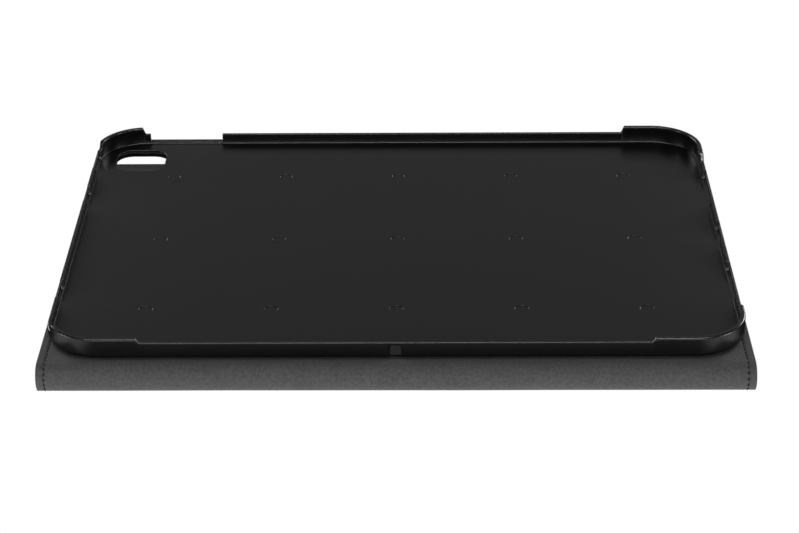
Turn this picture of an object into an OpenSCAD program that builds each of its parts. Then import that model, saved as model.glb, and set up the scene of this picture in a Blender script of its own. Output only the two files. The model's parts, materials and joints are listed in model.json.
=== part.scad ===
// Folio case for a tablet, folded back on itself: a moulded tray on a rear panel, a soft spine that
// bends in a half-round loop, and a front panel that lies under the rear one. Millimetres, +Z up,
// X along the spine. The origin is at the middle of the footprint, on the surface it lies on.

/* [Tablet that the case holds] */
// Length of the tablet, along the spine
tablet_w = 247.6; // [200:0.1:300]
// Depth of the tablet, away from the spine
tablet_d = 178.5; // [140:0.1:220]
// Thickness of the tablet
tablet_t = 6.1; // [5:0.1:8]
// Radius of the tablet's corners, seen from above
tablet_corner_r = 18.4; // [12:0.1:24]

/* [Tray] */
// Clearance between the tablet and the tray's walls and lips
tablet_gap = 0.05; // [0.02:0.01:0.3]
// Thickness of the tray's walls
tray_wall = 1.3; // [1:0.1:2.4]
// Thickness of the tray's floor
tray_floor = 1; // [0.8:0.1:2]
// Radius of the tray's outer bottom edge
tray_edge_r = 2.2; // [0.8:0.1:2.4]
// Height of the corner lips above the glass
lip_rise = 1; // [0.6:0.1:1.6]
// How far the lips reach over the glass
lip_reach = 0.7; // [0.3:0.1:1.4]
// How far the near wall's top is below the glass
near_wall_drop = 0.4; // [0:0.1:2]
// How far the tops of the other three walls are below the glass
side_wall_drop = 2; // [0.5:0.1:3]
// Length of the slope where a lip runs down to a lower wall
lip_ramp = 1.6; // [0.4:0.1:4]

/* [Corner lips] */
// Length of both near lips along the spine, from the tray's corner
near_lip_x = 33.4; // [24:0.1:60]
// Length of the far right lip along the spine
far_right_lip_x = 30.2; // [24:0.1:60]
// Length of the far left lip along the spine, which ends at the volume buttons
far_left_lip_x = 17.1; // [12:0.1:30]
// Length of the near left lip along the side
near_left_lip_y = 10.6; // [8:0.1:40]
// Length of the near right lip along the side
near_right_lip_y = 24.6; // [12:0.1:40]
// Length of the far right lip along the side
far_right_lip_y = 26.1; // [12:0.1:40]
// Length of the far left lip along the side
far_left_lip_y = 13.6; // [8:0.1:40]

/* [Openings in the tray] */
// Width of the camera window, which is as deep as it is wide
camera_w = 20; // [10:0.1:24]
// Corner radius of the camera window
camera_r = 6; // [2:0.1:9]
// Distance from the camera window's centre to the walls on both sides of its corner
camera_at = 17; // [14:0.1:24]
// Width of the opening for the charging plug
port_w = 14; // [10:0.1:24]
// Length of each speaker opening
speaker_w = 26; // [10:0.1:36]
// Distance from the middle of a side to the middle of its speaker openings
speaker_at = 40; // [26:0.1:44]
// Length of the opening for the top button
button_w = 16; // [8:0.1:18]
// Length of the opening for the volume buttons
volume_w = 30; // [16:0.1:40]
// Distance along the wall from a lip's end to the button opening beside it
button_gap = 2; // [0.5:0.1:6]
// Height of the sills under these openings, above the floor
sill_h = 0.7; // [0.3:0.1:2]
// Width of the microphone slot in the near wall
mic_w = 3.8; // [2:0.1:6]
// Distance from the glass down to the top of the microphone slot
mic_drop = 1.7; // [1:0.1:4]
// How far the microphone slot bites into the floor's edge
mic_step = 0.3; // [0.1:0.1:1]
// Radius of the round marks that the mould's pins leave on the floor
pin_mark_r = 2.6; // [1.5:0.1:4]
// Depth of those marks
pin_mark_depth = 0.15; // [0.05:0.05:0.4]

/* [Cover] */
// How far the cover reaches past the tray at its two short ends
cover_reach_x = 1.55; // [0.5:0.05:6]
// How far the flat panels reach past the tray at the spine and at the far edge
cover_reach_y = 1.4; // [0.5:0.05:6]
// Radius of the panels' far corners
panel_corner_r = 8; // [4:0.1:20]
// Thickness of the outer skin
skin_t = 0.7; // [0.4:0.05:1.2]
// Thickness of the stiffening boards
board_t = 1.1; // [0.6:0.05:2.4]
// Thickness of the fabric lining
lining_t = 0.5; // [0.4:0.05:1.2]
// Width of the border round the boards, where skin and lining meet
board_inset = 4.4; // [4:0.1:8]
// Width of the fold between the two rear boards
crease_w = 3; // [1.5:0.1:6]
// Depth of the groove in the skin along that fold
crease_depth = 0.4; // [0.1:0.05:0.6]
// Thickness of the adhesive sheet between the rear panel and the tray
adhesive_t = 0.1; // [0.05:0.05:0.4]

/* [Spine] */
// Gap between the two panels when the cover is folded back
panel_gap = 6.3; // [5.8:0.1:12]
// Width of the fold line at each of the spine's hinges
fold_gap = 0.82; // [0.7:0.01:1.2]

/* [Stitching] */
// Distance from the cover's edge to the stitch line
stitch_inset = 2.9; // [2:0.1:3.4]
// Width of the thread
thread_w = 0.6; // [0.3:0.05:0.8]
// Depth of the thread in the lining and the skin
thread_depth = 0.3; // [0.1:0.05:0.35]

/* [Magnets] */
// Radius of the closing magnets
closing_magnet_r = 4; // [2:0.1:6]
// Number of closing magnets along the far edge
closing_magnet_count = 6; // [2:1:10]
// Radius of the magnets that wake the tablet
wake_magnet_r = 2.5; // [1.5:0.1:4]
// Number of waking magnets
wake_magnet_count = 3; // [1:1:4]
// Thickness of every magnet
magnet_t = 0.9; // [0.3:0.05:1]

/* [Hidden] */
$fn = 96;
over = 3;

// Colours
tray_black = [0.05, 0.05, 0.055];
lining_grey = [0.32, 0.32, 0.33];
skin_black = [0.07, 0.07, 0.075];
board_grey = [0.5, 0.48, 0.44];
thread_black = [0.03, 0.03, 0.03];
magnet_grey = [0.7, 0.7, 0.72];
adhesive_white = [0.85, 0.85, 0.82];

// Tray, inside and out
inner_w = tablet_w + 2 * tablet_gap;
inner_d = tablet_d + 2 * tablet_gap;
inner_r = tablet_corner_r + tablet_gap;
tray_w = inner_w + 2 * tray_wall;
tray_d = inner_d + 2 * tray_wall;

// Cover, and the half-round loop of its spine
cover_w = tray_w + 2 * cover_reach_x;
panel_d = tray_d + 2 * cover_reach_y;
panel_t = skin_t + board_t + lining_t;
strip_t = skin_t + lining_t;
loop_h = 2 * panel_t + panel_gap;
loop_r = (loop_h - strip_t) / 2;
fold_turn = 45;
slat_pitch = 2 * loop_r * tan(fold_turn / 2);
slat_w = slat_pitch - fold_gap;

// Places along Y: the panels' near edge, their far edge, the tray's centre and the strips' ends
tray_y = loop_h / 4;
near_y = tray_y - panel_d / 2;
far_y = tray_y + panel_d / 2;
strip_y = near_y - slat_w / 2;

// Heights: the tray's underside, the top of its floor, the glass, and the top of the lips
tray_z = loop_h + adhesive_t;
floor_z = tray_z + tray_floor;
glass_z = floor_z + tablet_t;
lip_z = glass_z + lip_rise;

// Camera window, and the wider window behind it in the rear panel
camera_x = -inner_w / 2 + camera_at;
camera_y = tray_y + inner_d / 2 - camera_at;
rear_window_w = camera_w + 2;
board_window_w = rear_window_w + 2 * skin_t + 2;

// Boards
board_near_y = near_y + board_inset / 2;
board_edge_r = panel_corner_r - board_inset;
pan_wall = 1;

// ---- shared shapes ----

// A rectangle with four round corners, centred
module round_rect(w, d, r) {
    square([w - 2 * r, d], center = true);
    square([w, d - 2 * r], center = true);
    for (x = [-1, 1], y = [-1, 1]) translate([x * (w / 2 - r), y * (d / 2 - r)]) circle(r);
}

// What a quarter round of radius r takes off a corner at the origin, the material being up and right
module corner_cut(r) {
    difference() {
        translate([-over, -over]) square(r + over);
        translate([r, r]) circle(r);
    }
}

// Carries a section round a rectangle with round corners: the section's X is measured outward
// from the rectangle, and its Y is the height
module around(w, d, r) {
    for (k = [0 : 3]) {
        length = (k % 2 == 0 ? d : w) - 2 * r;
        reach = (k % 2 == 0 ? w : d) / 2;
        rotate(90 * k) {
            translate([reach, length / 2, 0]) rotate([90, 0, 0]) linear_extrude(length) children();
            translate([reach - r, length / 2, 0])
                rotate_extrude(angle = 90) translate([r, 0]) children();
        }
    }
}

// Outline of a panel: square at the spine, round at the far corners
module panel_outline(inset, start_y) {
    r = max(panel_corner_r - inset, 0.5);
    half_w = cover_w / 2 - inset;
    end_y = far_y - inset;
    translate([-half_w, start_y]) square([2 * half_w, end_y - r - start_y]);
    translate([-half_w + r, start_y]) square([2 * (half_w - r), end_y - start_y]);
    for (x = [-1, 1]) translate([x * (half_w - r), end_y - r]) circle(r);
}

// Puts a panel, drawn with its lining face at z = 0 and its skin above, where the rear panel is
module at_rear() {
    translate([0, 0, loop_h]) mirror([0, 0, 1]) children();
}

// A window through the rear panel or the tray, behind the tablet's camera
module camera_hole(w, z, h) {
    translate([camera_x, camera_y, z]) linear_extrude(h) round_rect(w, w, camera_r + (w - camera_w) / 2);
}

// ---- tray ----

// Section of the tray's wall with its lip: X = 0 is the wall's inner face, Y = 0 its underside
module wall_section() {
    lip_under = tray_floor + tablet_t + tablet_gap;
    top = lip_z - tray_z;
    lip_edge_r = min(lip_rise - tablet_gap, lip_reach) * 0.6;
    difference() {
        translate([-tray_edge_r, 0]) square([tray_edge_r + tray_wall, top]);
        translate([-tray_edge_r - over, tray_floor])
            square([tray_edge_r + over, lip_under - tray_floor]);
        translate([-tray_edge_r - over, tray_floor]) square([tray_edge_r + over - lip_reach, top]);
        translate([tray_wall, 0]) mirror([1, 0]) corner_cut(tray_edge_r);
        translate([tray_wall, top]) rotate(180) corner_cut(tray_wall / 2);
        translate([-lip_reach, top]) mirror([0, 1]) corner_cut(lip_edge_r);
    }
}

// Carries a shape drawn along X and Z through a wall that runs along X: from outside it to as far
// inside it as the round corners reach
module through_wall() {
    translate([0, inner_r, 0]) rotate([90, 0, 0]) linear_extrude(2 * inner_r) children();
}

// What lowers a wall between two lips: drawn along X from one lip's end to the other's
module wall_drop(from, to, drop) {
    height = lip_rise + drop;
    through_wall() translate([0, glass_z - drop])
        polygon([[from + lip_ramp, 0], [to - lip_ramp, 0], [to, height], [to, height + over],
                 [from, height + over], [from, height]]);
}

// A notch for a button, speaker or plug, down to the sill
module side_notch(at, w) {
    notch_r = 1;
    through_wall() translate([at, floor_z + sill_h]) {
        translate([-w / 2 + notch_r, 0]) square([w - 2 * notch_r, tablet_t]);
        translate([-w / 2, notch_r]) square([w, tablet_t]);
        for (x = [-1, 1]) translate([x * (w / 2 - notch_r), notch_r]) circle(notch_r);
    }
}

module tray_shell() {
    half_w = tray_w / 2;
    half_d = tray_d / 2;
    volume_from = -half_w + far_left_lip_x + lip_ramp + button_gap;
    button_from = half_d - far_left_lip_y - lip_ramp - button_gap;
    color(tray_black) difference() {
        union() {
            translate([0, tray_y, tray_z]) around(inner_w, inner_d, inner_r) wall_section();
            translate([0, tray_y, tray_z]) linear_extrude(tray_floor)
                round_rect(inner_w - 2 * tray_edge_r, inner_d - 2 * tray_edge_r,
                           inner_r - tray_edge_r);
        }
        translate([0, tray_y, 0]) {
            // near and far walls, then the right and left walls, seen from the middle
            translate([0, -half_d, 0])
                wall_drop(-half_w + near_lip_x, half_w - near_lip_x, near_wall_drop);
            translate([0, half_d, 0]) {
                wall_drop(-half_w + far_left_lip_x, half_w - far_right_lip_x, side_wall_drop);
                side_notch(volume_from + volume_w / 2, volume_w);
            }
            translate([half_w, 0, 0]) rotate(90) {
                wall_drop(-half_d + near_right_lip_y, half_d - far_right_lip_y, side_wall_drop);
                side_notch(0, port_w);
                for (s = [-1, 1]) side_notch(s * speaker_at, speaker_w);
            }
            translate([-half_w, 0, 0]) rotate(90) {
                wall_drop(-half_d + near_left_lip_y, half_d - far_left_lip_y, side_wall_drop);
                side_notch(button_from - button_w / 2, button_w);
                for (s = [-1, 1]) side_notch(s * speaker_at - speaker_w / 4, speaker_w / 2);
            }
            // microphone slot, open at the bottom
            translate([-mic_w / 2, -half_d - over, tray_z - over])
                cube([mic_w, over + tray_wall + mic_step, glass_z - mic_drop - tray_z + over]);
            // marks of the mould's pins
            for (x = [-2 : 2], y = [-1 : 1])
                translate([x * inner_w / 5.4, y * inner_d / 3.2, floor_z - pin_mark_depth])
                    cylinder(r = pin_mark_r, h = over);
        }
        camera_hole(camera_w, tray_z - over, tray_floor + 2 * over);
    }
}

module tray_adhesive() {
    border = 6;
    start_y = tray_y + crease_w / 2 + border;
    end_y = tray_y + inner_d / 2 - border;
    half_w = inner_w / 2 - border;
    color(adhesive_white) difference() {
        translate([-half_w, start_y, loop_h]) cube([2 * half_w, end_y - start_y, adhesive_t]);
        camera_hole(board_window_w, loop_h - over, 2 * over);
        // the sheet's far corners are cut off to stay inside the tray's round ones
        for (x = [-1, 1]) translate([x * half_w, end_y, loop_h])
            rotate(45) cube([inner_r, inner_r, over], center = true);
    }
}

// ---- panels ----

// The thread's run along three edges of a panel, as a bead from height z to z + thread_depth
module thread_run(z) {
    r = panel_corner_r - stitch_inset;
    half_w = cover_w / 2 - stitch_inset;
    end_y = far_y - stitch_inset;
    for (x = [-1, 1]) {
        translate([x * half_w - thread_w / 2, strip_y, z])
            cube([thread_w, end_y - r - strip_y, thread_depth]);
        translate([x * (half_w - r), end_y - r, z]) rotate(x > 0 ? 0 : 90)
            rotate_extrude(angle = 90) translate([r - thread_w / 2, 0]) square([thread_w, thread_depth]);
    }
    translate([-half_w + r, end_y - thread_w / 2, z])
        cube([2 * (half_w - r), thread_w, thread_depth]);
}

// Both beads of a panel's seam: on the lining's face and on the skin's
module panel_thread() {
    thread_run(0);
    thread_run(strip_t - thread_depth);
}

module panel_lining() {
    difference() {
        linear_extrude(lining_t) panel_outline(0, strip_y);
        thread_run(0);
    }
}

// Skin of a panel: thin at the border and raised over the boards, with a pocket for them
module panel_skin() {
    difference() {
        union() {
            translate([0, 0, lining_t]) linear_extrude(skin_t) panel_outline(0, strip_y);
            translate([0, 0, lining_t]) linear_extrude(board_t + skin_t)
                panel_outline(board_inset - pan_wall, board_near_y - pan_wall);
        }
        thread_run(strip_t - thread_depth);
    }
}

// A board between two places along Y, from the lining up to the skin
module board(from_y, to_y) {
    intersection() {
        translate([0, 0, lining_t]) linear_extrude(board_t) panel_outline(board_inset, board_near_y);
        translate([-cover_w, from_y, 0]) cube([2 * cover_w, to_y - from_y, panel_t]);
    }
}

module rear_boards() {
    board(near_y, tray_y - crease_w / 2);
    board(tray_y + crease_w / 2, far_y);
}

module rear_lining() {
    color(lining_grey) difference() {
        at_rear() panel_lining();
        camera_hole(rear_window_w, -over, loop_h + 2 * over);
    }
}

module rear_board_fixed() {
    color(board_grey) difference() {
        at_rear() board(tray_y + crease_w / 2, far_y);
        camera_hole(board_window_w, 0, loop_h + over);
    }
}

module rear_board_prop() {
    color(board_grey) at_rear() board(near_y, tray_y - crease_w / 2);
}

module rear_skin() {
    color(skin_black) difference() {
        at_rear() panel_skin();
        difference() {
            at_rear() rear_boards();
            camera_hole(board_window_w, 0, loop_h + over);
        }
        camera_hole(rear_window_w, -over, loop_h + 2 * over);
        translate([-cover_w / 2 - over, tray_y - crease_w / 2, loop_h - panel_t - over])
            cube([cover_w + 2 * over, crease_w, over + crease_depth]);
    }
}

module rear_thread() {
    color(thread_black) at_rear() panel_thread();
}

module front_lining() {
    color(lining_grey) panel_lining();
}

module front_board() {
    color(board_grey) difference() {
        board(near_y, far_y);
        closing_magnet_places() magnet_pocket(closing_magnet_r);
        wake_magnet_places() magnet_pocket(wake_magnet_r);
    }
}

module front_skin() {
    color(skin_black) difference() {
        panel_skin();
        board(near_y, far_y);
    }
}

module front_thread() {
    color(thread_black) panel_thread();
}

// ---- magnets, in pockets that open toward the skin ----

module magnet_pocket(r) {
    translate([0, 0, lining_t + board_t - magnet_t]) cylinder(r = r, h = magnet_t + over);
}

module magnet(r) {
    translate([0, 0, lining_t + board_t - magnet_t]) cylinder(r = r, h = magnet_t);
}

module closing_magnet_places() {
    border = board_inset + 2 * closing_magnet_r;
    span = cover_w - 4 * border;
    for (k = [0 : closing_magnet_count - 1])
        translate([-span / 2 + k * span / (closing_magnet_count - 1), far_y - border, 0]) children();
}

module wake_magnet_places() {
    pitch = 4 * wake_magnet_r;
    border = board_inset + 2 * wake_magnet_r;
    for (k = [0 : wake_magnet_count - 1])
        translate([cover_w / 2 - border, tray_y + inner_d / 4 - k * pitch, 0]) children();
}

module closing_magnets() {
    color(magnet_grey) closing_magnet_places() magnet(closing_magnet_r);
}

module wake_magnets() {
    color(magnet_grey) wake_magnet_places() magnet(wake_magnet_r);
}

// ---- spine: three slats of skin and lining round the loop, one fold's turn apart ----

// Puts a slat, drawn upright at the middle of the loop, at its place: step is 1 for the upper slat,
// 0 for the middle one and -1 for the lower one
module at_slat(step) {
    translate([0, near_y, loop_h / 2]) rotate([-step * fold_turn, 0, 0]) translate([0, -loop_r, 0])
        children();
}

// The two thread beads at each short end, on the lining's face and on the skin's
module slat_thread() {
    for (x = [-1, 1], y = [-strip_t / 2, strip_t / 2 - thread_depth])
        translate([x * (cover_w / 2 - stitch_inset) - thread_w / 2, y, -slat_w / 2])
            cube([thread_w, thread_depth, slat_w]);
}

module slat_lining() {
    difference() {
        translate([-cover_w / 2, -strip_t / 2, -slat_w / 2]) cube([cover_w, lining_t, slat_w]);
        slat_thread();
    }
}

module slat_skin() {
    difference() {
        translate([-cover_w / 2, lining_t - strip_t / 2, -slat_w / 2]) cube([cover_w, skin_t, slat_w]);
        slat_thread();
    }
}

module spine_lining_upper() { color(lining_grey) at_slat(1) slat_lining(); }
module spine_lining_middle() { color(lining_grey) at_slat(0) slat_lining(); }
module spine_lining_lower() { color(lining_grey) at_slat(-1) slat_lining(); }
module spine_skin_upper() { color(skin_black) at_slat(1) slat_skin(); }
module spine_skin_middle() { color(skin_black) at_slat(0) slat_skin(); }
module spine_skin_lower() { color(skin_black) at_slat(-1) slat_skin(); }
module spine_thread_upper() { color(thread_black) at_slat(1) slat_thread(); }
module spine_thread_middle() { color(thread_black) at_slat(0) slat_thread(); }
module spine_thread_lower() { color(thread_black) at_slat(-1) slat_thread(); }

tray_shell();
tray_adhesive();
rear_lining();
rear_board_fixed();
rear_board_prop();
rear_skin();
rear_thread();
spine_lining_upper();
spine_skin_upper();
spine_thread_upper();
spine_lining_middle();
spine_skin_middle();
spine_thread_middle();
spine_lining_lower();
spine_skin_lower();
spine_thread_lower();
front_lining();
front_board();
front_skin();
front_thread();
wake_magnets();
closing_magnets();
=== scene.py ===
"""Folio case for a tablet, folded back on itself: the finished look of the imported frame.

The cover is one strip of skin and lining that runs over the rear panel, round the half-round spine and
under the front panel. Lengths inside the classes are in millimetres and become metres in put_mesh.
"""

from __future__ import annotations

import itertools
import json
import logging
import math
from dataclasses import dataclass
from enum import Enum

import bmesh
import bpy
import numpy as np
from mathutils import Matrix, Vector

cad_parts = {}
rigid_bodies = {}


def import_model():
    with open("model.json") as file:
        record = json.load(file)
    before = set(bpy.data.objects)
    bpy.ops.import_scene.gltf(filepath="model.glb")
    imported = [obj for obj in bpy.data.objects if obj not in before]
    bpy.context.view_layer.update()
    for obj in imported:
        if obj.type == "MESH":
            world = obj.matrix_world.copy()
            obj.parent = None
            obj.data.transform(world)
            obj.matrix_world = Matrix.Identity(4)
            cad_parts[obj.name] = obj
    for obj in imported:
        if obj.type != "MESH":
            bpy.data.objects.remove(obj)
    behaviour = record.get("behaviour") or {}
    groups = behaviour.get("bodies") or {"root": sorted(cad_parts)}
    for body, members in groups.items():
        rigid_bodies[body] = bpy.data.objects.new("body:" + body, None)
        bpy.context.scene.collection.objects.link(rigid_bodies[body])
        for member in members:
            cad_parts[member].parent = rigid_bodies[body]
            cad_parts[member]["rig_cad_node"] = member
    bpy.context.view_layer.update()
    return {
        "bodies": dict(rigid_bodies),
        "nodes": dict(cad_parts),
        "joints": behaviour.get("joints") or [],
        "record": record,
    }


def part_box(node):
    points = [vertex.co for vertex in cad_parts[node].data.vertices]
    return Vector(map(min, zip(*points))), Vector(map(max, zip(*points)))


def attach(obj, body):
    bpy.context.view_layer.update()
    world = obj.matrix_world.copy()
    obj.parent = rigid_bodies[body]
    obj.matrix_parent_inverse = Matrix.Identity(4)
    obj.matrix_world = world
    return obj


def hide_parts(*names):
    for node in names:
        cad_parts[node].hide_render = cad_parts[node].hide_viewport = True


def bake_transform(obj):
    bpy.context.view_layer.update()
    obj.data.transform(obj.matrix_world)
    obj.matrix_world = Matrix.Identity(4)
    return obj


log = logging.getLogger("folio_case")

MM = 0.001
SHARP_ANGLE = math.radians(34)
FAR_WALL_OPENING = "volume_opening"

# A colour Mix node's two colour inputs and its colour output, by number, because their names repeat.
MIX_A, MIX_B, MIX_RESULT = 6, 7, 2


# ---------------------------------------------------------------- shared shapes


def smooth(low: float, high: float, x: np.ndarray) -> np.ndarray:
    """Smooth step: 0 below low, 1 above high, and 3t^2 - 2t^3 between them.

    Args:
        low: where the step starts.
        high: where the step ends.
        x: values to map.

    Returns:
        The step's value at each x.
    """
    t = np.clip((np.asarray(x, float) - low) / (high - low), 0.0, 1.0)
    return t * t * (3.0 - 2.0 * t)


def arc(cu: float, cz: float, r: float, start: float, end: float, count: int) -> np.ndarray:
    """Points of a circular arc, (cu + r cos a, cz + r sin a), with a running from start to end degrees.

    Args:
        cu: centre, first coordinate.
        cz: centre, second coordinate.
        r: radius.
        start: first angle in degrees.
        end: last angle in degrees.
        count: number of points, both ends included.

    Returns:
        Array of shape (count, 2).
    """
    a = np.radians(np.linspace(start, end, count))
    return np.stack([cu + r * np.cos(a), cz + r * np.sin(a)], axis=1)


def grid_faces(rows: int, cols: int, first: int = 0, close_cols: bool = False) -> np.ndarray:
    """Quads of a grid of vertices numbered row by row.

    Args:
        rows: number of rows.
        cols: number of vertices in a row.
        first: number of the grid's first vertex.
        close_cols: joins each row's last vertex to its first.

    Returns:
        Array of shape (n, 4).
    """
    r = np.arange(rows - 1)[:, None]
    c = np.arange(cols if close_cols else cols - 1)[None, :]
    n = (c + 1) % cols
    low, high = r * cols, (r + 1) * cols
    return np.stack([low + c, low + n, high + n, high + c], axis=-1).reshape(-1, 4) + first


def strip_faces(a: np.ndarray, b: np.ndarray) -> np.ndarray:
    """Quads between two rows of vertex numbers of the same length."""
    return np.stack([a[:-1], a[1:], b[1:], b[:-1]], axis=1)


def put_mesh(name: str, points: np.ndarray, faces: list[np.ndarray]) -> bpy.types.Object:
    """Makes an object from points in millimetres, with its faces turned outwards and sharp edges marked.

    Args:
        name: the piece's name.
        points: array of shape (n, 3).
        faces: arrays of vertex numbers, one row per face.

    Returns:
        The new object, at the origin, linked to the scene.
    """
    mesh = bpy.data.meshes.new(name)
    rows = [row for block in faces for row in block.tolist()]
    mesh.from_pydata((np.asarray(points, float) * MM).tolist(), [], rows)
    work = bmesh.new()
    work.from_mesh(mesh)
    bmesh.ops.remove_doubles(work, verts=work.verts, dist=1e-7)
    bmesh.ops.recalc_face_normals(work, faces=work.faces)
    work.to_mesh(mesh)
    work.free()
    return put_object(name, mesh)


def shade(mesh: bpy.types.Mesh) -> None:
    """Shades a mesh smooth, with its sharp edges marked."""
    mesh.shade_smooth()
    mesh.set_sharp_from_angle(angle=SHARP_ANGLE)


def put_object(name: str, mesh: bpy.types.Mesh) -> bpy.types.Object:
    """Links a finished mesh as an object, shaded smooth with its sharp edges marked."""
    shade(mesh)
    piece = bpy.data.objects.new(name, mesh)
    bpy.context.scene.collection.objects.link(piece)
    return piece


def cut_from(piece: bpy.types.Object, cutter: bpy.types.Object) -> None:
    """Takes the cutter's shape out of a piece for good, and removes the cutter."""
    step = piece.modifiers.new("cut", "BOOLEAN")
    step.operation = "DIFFERENCE"
    step.solver = "MANIFOLD"
    step.object = cutter
    graph = bpy.context.evaluated_depsgraph_get()
    cut = bpy.data.meshes.new_from_object(piece.evaluated_get(graph))
    piece.modifiers.clear()
    old, piece.data = piece.data, cut
    bpy.data.meshes.remove(old)
    bpy.data.objects.remove(cutter)
    cut.name = piece.name
    shade(cut)


def round_square(half: float, r: float, per_corner: int) -> np.ndarray:
    """Outline of a square with round corners: four quarter circles, one after another.

    Args:
        half: half of the square's width.
        r: corner radius.
        per_corner: points in each quarter circle.

    Returns:
        Array of shape (4 * per_corner, 2), counter-clockwise.
    """
    c = half - r
    centres = [(c, c, 0), (-c, c, 90), (-c, -c, 180), (c, -c, 270)]
    return np.concatenate([arc(x, y, r, a, a + 90, per_corner) for x, y, a in centres])


def prism(name: str, outlines: list[np.ndarray], levels: list[float], along: str) -> bpy.types.Object:
    """A closed solid through outlines at rising levels, used as a cutter.

    Args:
        name: the object's name.
        outlines: arrays of shape (n, 2), one per level.
        levels: where each outline lies along the solid's axis.
        along: "z" for outlines in X and Y, or "y" for ones in X and Z.

    Returns:
        The solid.
    """
    n = len(outlines[0])
    rings = []
    for outline, level in zip(outlines, levels):
        other = np.full((n, 1), level)
        parts = [outline, other] if along == "z" else [outline[:, :1], other, outline[:, 1:]]
        rings.append(np.concatenate(parts, axis=1))
    last = (len(rings) - 1) * n
    caps = np.stack([np.arange(n), last + np.arange(n)])
    return put_mesh(name, np.concatenate(rings), [grid_faces(len(rings), n, close_cols=True), caps])


# ---------------------------------------------------------------- sizes from the frame


@dataclass(frozen=True)
class CaseFrame:
    """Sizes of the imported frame, in millimetres, read from its nodes, joints and openings.

    An opening is given by where it starts and ends along the wall that it is in.
    """

    half_w: float
    near_y: float
    far_y: float
    loop_mid_z: float
    strip_r: float
    skin_t: float
    board_t: float
    lining_t: float
    tray_low: tuple[float, float, float]
    tray_high: tuple[float, float, float]
    camera_xy: tuple[float, float]
    openings: dict[str, tuple[float, float]]

    @classmethod
    def read(cls, frame: dict) -> CaseFrame:
        """Reads the sizes.


        Returns:
            The sizes.
        """
        hinges = {j["name"]: [c / MM for c in j["pos_m"]] for j in frame["joints"]}
        top = hinges["rear_fold"]
        middle_top = hinges["rear_fold_middle"]
        middle_low = hinges["front_fold_middle"]
        bottom = hinges["front_fold"]
        lining_low, lining_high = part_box("front_lining")
        board_low, board_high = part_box("front_board")
        tray_low, tray_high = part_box("tray_shell")
        boxes = {o["name"]: np.array(o["box_m"]) / MM for o in frame["record"]["physics"]["openings"]}
        window = boxes["camera_window"]
        lining_t = (lining_high.z - lining_low.z) / MM
        return cls(
            half_w=lining_high.x / MM,
            near_y=top[1] + (middle_top[2] - middle_low[2]) / 2,
            far_y=lining_high.y / MM,
            loop_mid_z=(top[2] + bottom[2]) / 2,
            strip_r=(top[2] - bottom[2]) / 2,
            skin_t=2 * bottom[2] - lining_t,
            board_t=(board_high.z - board_low.z) / MM,
            lining_t=lining_t,
            tray_low=tuple(c / MM for c in tray_low),
            tray_high=tuple(c / MM for c in tray_high),
            camera_xy=tuple((window[0] + window[1])[:2] / 2),
            openings={
                name: tuple(box[:, 0 if name == FAR_WALL_OPENING else 1]) for name, box in boxes.items()
            },
        )

    @property
    def panel_d(self) -> float:
        """Depth of the flat panels."""
        return self.far_y - self.near_y


# ---------------------------------------------------------------- materials


class Nodes:
    """Builds a node tree: add makes a node, wire links two sockets, and math and mix are shorthands."""

    def __init__(self, tree: bpy.types.NodeTree) -> None:
        """Keeps the tree and empties it."""
        self.tree = tree
        tree.nodes.clear()

    def add(self, kind: str, **values: object) -> bpy.types.Node:
        """Makes a node and sets its properties or its unlinked inputs.

        Args:
            kind: the node's type without the ShaderNode prefix.
            **values: properties, or inputs by name with spaces as underscores.

        Returns:
            The node.
        """
        node = self.tree.nodes.new(kind if kind.startswith("Node") else "ShaderNode" + kind)
        for key, value in values.items():
            if hasattr(node, key):
                setattr(node, key, value)
            else:
                node.inputs[key.replace("_", " ")].default_value = value
        return node

    def wire(self, source: bpy.types.NodeSocket, target: bpy.types.NodeSocket) -> None:
        """Links an output to an input."""
        self.tree.links.new(source, target)

    def math(self, operation: str, a: object, b: object = 0.0, clamp: bool = False) -> bpy.types.NodeSocket:
        """A Math node of two values or sockets, and its output."""
        node = self.add("Math", operation=operation, use_clamp=clamp)
        for socket, value in zip(node.inputs, (a, b)):
            if isinstance(value, bpy.types.NodeSocket):
                self.wire(value, socket)
            else:
                socket.default_value = value
        return node.outputs[0]

    def ramp(self, source: bpy.types.NodeSocket, low: float, high: float,
             out_low: float, out_high: float) -> bpy.types.NodeSocket:
        """A smooth Map Range from low..high to out_low..out_high, and its output."""
        node = self.add("MapRange", interpolation_type="SMOOTHSTEP")
        self.wire(source, node.inputs["Value"])
        for name, value in (("From Min", low), ("From Max", high), ("To Min", out_low), ("To Max", out_high)):
            node.inputs[name].default_value = value
        return node.outputs[0]

    def mix(self, share: bpy.types.NodeSocket, a: tuple, b: tuple) -> bpy.types.NodeSocket:
        """A colour mix from a to b by share, and its output."""
        node = self.add("Mix", data_type="RGBA")
        self.wire(share, node.inputs["Factor"])
        node.inputs[MIX_A].default_value = (*a, 1.0)
        node.inputs[MIX_B].default_value = (*b, 1.0)
        return node.outputs[MIX_RESULT]

    def noise(self, vector: bpy.types.NodeSocket, scale: object, detail: float = 2.0,
              roughness: float = 0.5) -> bpy.types.NodeSocket:
        """A noise texture's value; scale is in features per metre, or a socket."""
        node = self.add("TexNoise", Detail=detail, Roughness=roughness)
        self.wire(vector, node.inputs["Vector"])
        if isinstance(scale, bpy.types.NodeSocket):
            self.wire(scale, node.inputs["Scale"])
        else:
            node.inputs["Scale"].default_value = scale
        return node.outputs["Fac"]


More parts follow.
